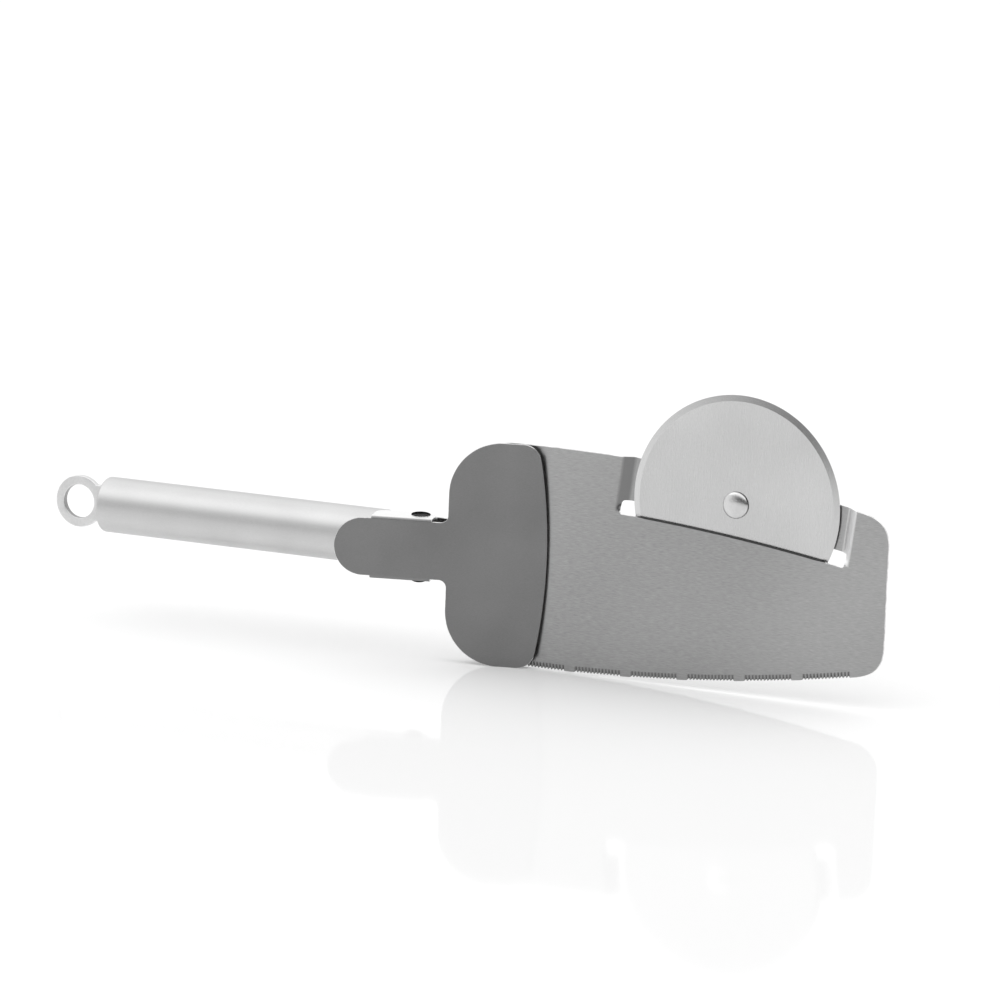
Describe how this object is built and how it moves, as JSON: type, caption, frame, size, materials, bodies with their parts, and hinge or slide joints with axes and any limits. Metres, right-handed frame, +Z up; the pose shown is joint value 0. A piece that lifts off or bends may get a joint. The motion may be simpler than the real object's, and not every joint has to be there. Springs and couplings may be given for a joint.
{
  "type": "pizza cutter and server",
  "caption": "Stainless pizza cutter and server: a turning wheel in a slit serrated blade, a sprung clamp lever that holds the slice, and a round tube handle with a hanging ring.",
  "frame": {"origin": "middle of the footprint, on the plane of the lowest edge, with the tool on edge as in use: wheel up, serrations down", "axes": "+X along the handle towards the blade's tip, -Y is the front with the clamp lever, +Z up through the wheel's side"},
  "size_m": [0.3212, 0.0326, 0.1036],
  "materials": {
    "satin_blade": "fine satin",
    "polished_wheel": "polished with a ground bevel",
    "satin_clamp": "satin",
    "bright_tube": "bright drawn tube",
    "rivet_steel": "bright, set by hammer",
    "dark_rivet": "blackened, glossy",
    "spring_steel": "drawn wire",
    "ring_steel": "tumbled"
  },
  "bodies": {
    "handle": {"blade_plate": "satin_blade", "axle_bush": "rivet_steel", "wheel_washer_front": "rivet_steel", "wheel_washer_back": "rivet_steel", "axle_rivet": "rivet_steel", "axle_burr": "rivet_steel", "pivot_rivet": "dark_rivet", "clamp_spring": "spring_steel", "handle_tube": "bright_tube", "handle_plug": "bright_tube", "hanging_ring": "ring_steel"},
    "wheel": {"cutting_wheel": "polished_wheel"},
    "clamp": {"clamp_lever": "satin_clamp"}
  },
  "joints": [
    {"name": "wheel_spin", "type": "hinge", "parent": "handle", "child": "wheel", "pos_m": [0.1038, 0.0063, 0.06555], "axis": [0, 1, 0], "continuous": true},
    {"name": "clamp_squeeze", "type": "hinge", "parent": "handle", "child": "clamp", "pos_m": [-0.012, -0.00056, 0.03955], "axis": [0, 0, -1], "range_deg": [0, 22], "stiffness_Nm_per_rad": 0.6, "springref_deg": -11.46, "deforming": ["clamp_spring"]}
  ]
}
